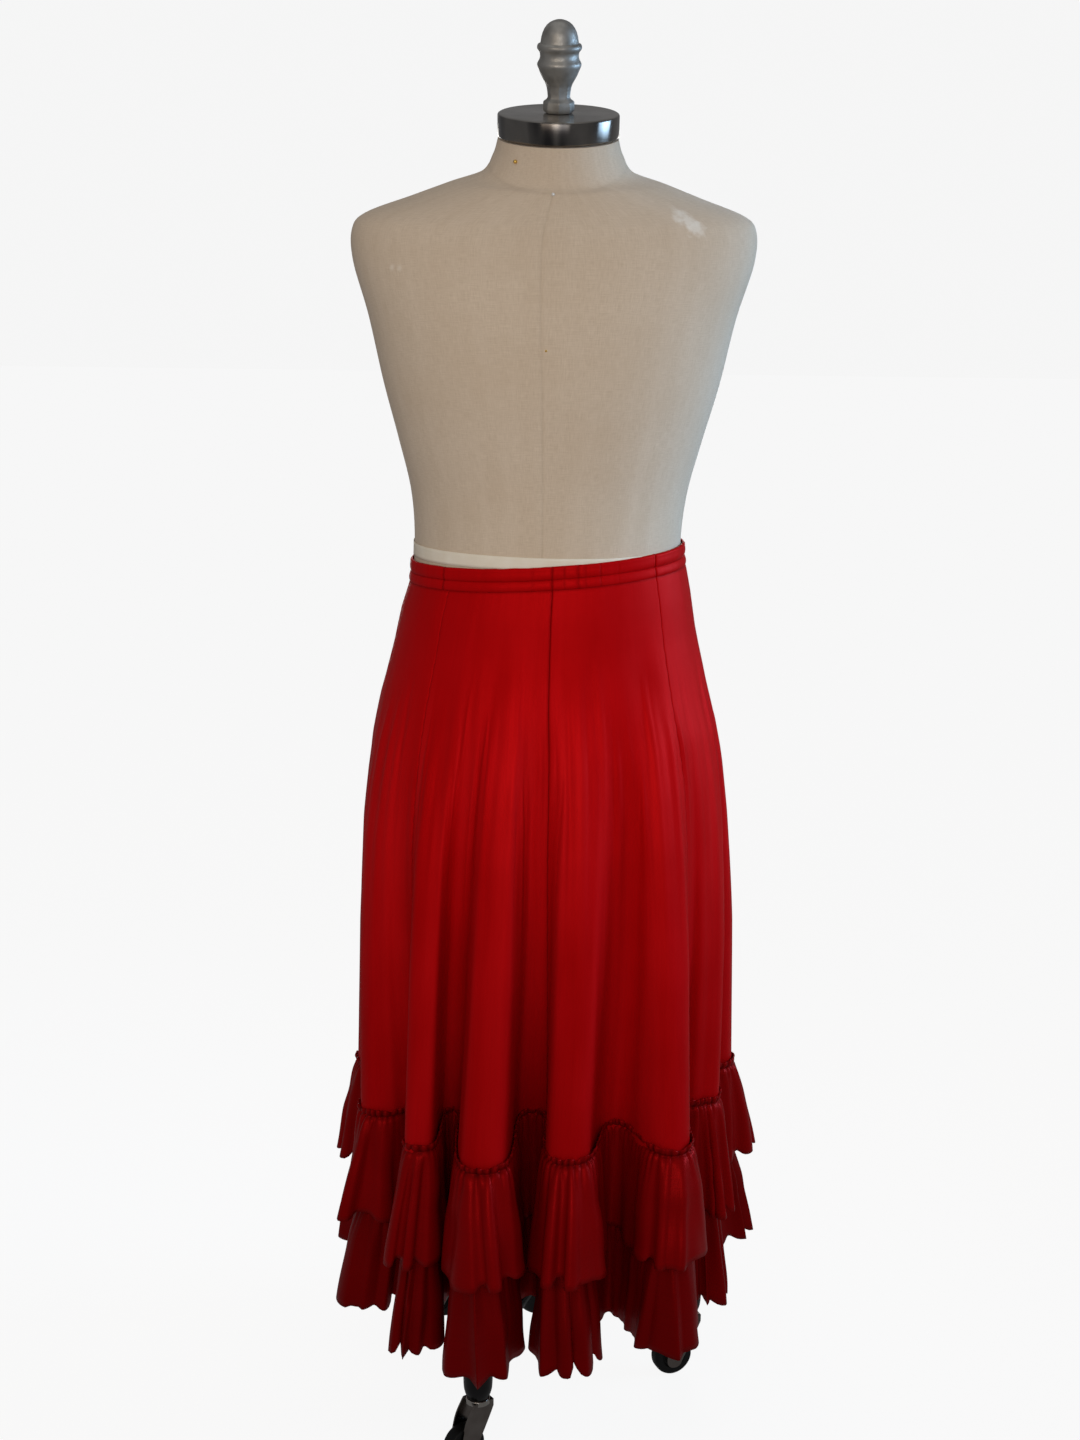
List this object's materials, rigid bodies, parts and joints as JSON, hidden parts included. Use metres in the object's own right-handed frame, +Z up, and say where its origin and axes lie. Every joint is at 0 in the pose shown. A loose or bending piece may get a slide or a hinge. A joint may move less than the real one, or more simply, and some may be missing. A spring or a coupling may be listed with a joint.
{
  "type": "flamenco skirt on a limbless dress form",
  "caption": "Long red flamenco skirt with gored body, elastic waist and two gathered ruffle tiers, worn on a limbless dress form with neck cap, finial and wheeled stand.",
  "frame": {"origin": "on the floor under the stand's pole", "axes": "+Z up the pole, -Y towards the wearer's front, +X to the right of the front view"},
  "size_m": [0.5222, 0.5694, 1.6208],
  "materials": {
    "red_satin": "deep red satin weave with a soft sheen, matte inside",
    "linen": "beige linen cover, plain weave, stretched smooth",
    "cream_tape": "cream cotton tape",
    "steel": "polished and slightly brushed steel",
    "cast_alloy": "satin grey cast alloy",
    "black_iron": "black enamel on iron",
    "black_rubber": "black moulded rubber"
  },
  "bodies": {
    "stand": {"waistband": "red_satin", "gore_front_left": "red_satin", "gore_front_right": "red_satin", "gore_side_right": "red_satin", "gore_back_right": "red_satin", "gore_back_left": "red_satin", "gore_side_left": "red_satin", "upper_ruffle_front": "red_satin", "upper_ruffle_right": "red_satin", "upper_ruffle_back": "red_satin", "upper_ruffle_left": "red_satin", "lower_ruffle_front": "red_satin", "lower_ruffle_right": "red_satin", "lower_ruffle_back": "red_satin", "lower_ruffle_left": "red_satin", "form": "linen", "waist_tape": "cream_tape", "neck_cap": "steel", "finial": "cast_alloy", "pole": "black_iron", "hub": "black_iron", "leg_1": "black_iron", "leg_2": "black_iron", "leg_3": "black_iron"},
    "caster_fork_1": {"fork_1": "steel"},
    "caster_wheel_1": {"wheel_1": "black_rubber"},
    "caster_fork_2": {"fork_2": "steel"},
    "caster_wheel_2": {"wheel_2": "black_rubber"},
    "caster_fork_3": {"fork_3": "steel"},
    "caster_wheel_3": {"wheel_3": "black_rubber"}
  },
  "joints": [
    {"name": "swivel_1", "type": "hinge", "parent": "stand", "child": "caster_fork_1", "pos_m": [-0.07484, -0.16809, 0.1], "axis": [0, 0, 1], "continuous": true},
    {"name": "roll_1", "type": "hinge", "parent": "caster_fork_1", "child": "caster_wheel_1", "pos_m": [-0.09102, -0.17985, 0.025], "axis": [0.5878, -0.809, 0], "continuous": true},
    {"name": "swivel_2", "type": "hinge", "parent": "stand", "child": "caster_fork_2", "pos_m": [0.18173, 0.02878, 0.1], "axis": [0, 0, 1], "continuous": true},
    {"name": "roll_2", "type": "hinge", "parent": "caster_fork_2", "child": "caster_wheel_2", "pos_m": [0.16319, 0.02129, 0.025], "axis": [0.3746, -0.9272, 0], "continuous": true},
    {"name": "swivel_3", "type": "hinge", "parent": "stand", "child": "caster_fork_3", "pos_m": [-0.11454, 0.144, 0.1], "axis": [0, 0, 1], "continuous": true},
    {"name": "roll_3", "type": "hinge", "parent": "caster_fork_3", "child": "caster_wheel_3", "pos_m": [-0.13186, 0.154, 0.025], "axis": [-0.5, -0.866, 0], "continuous": true}
  ]
}
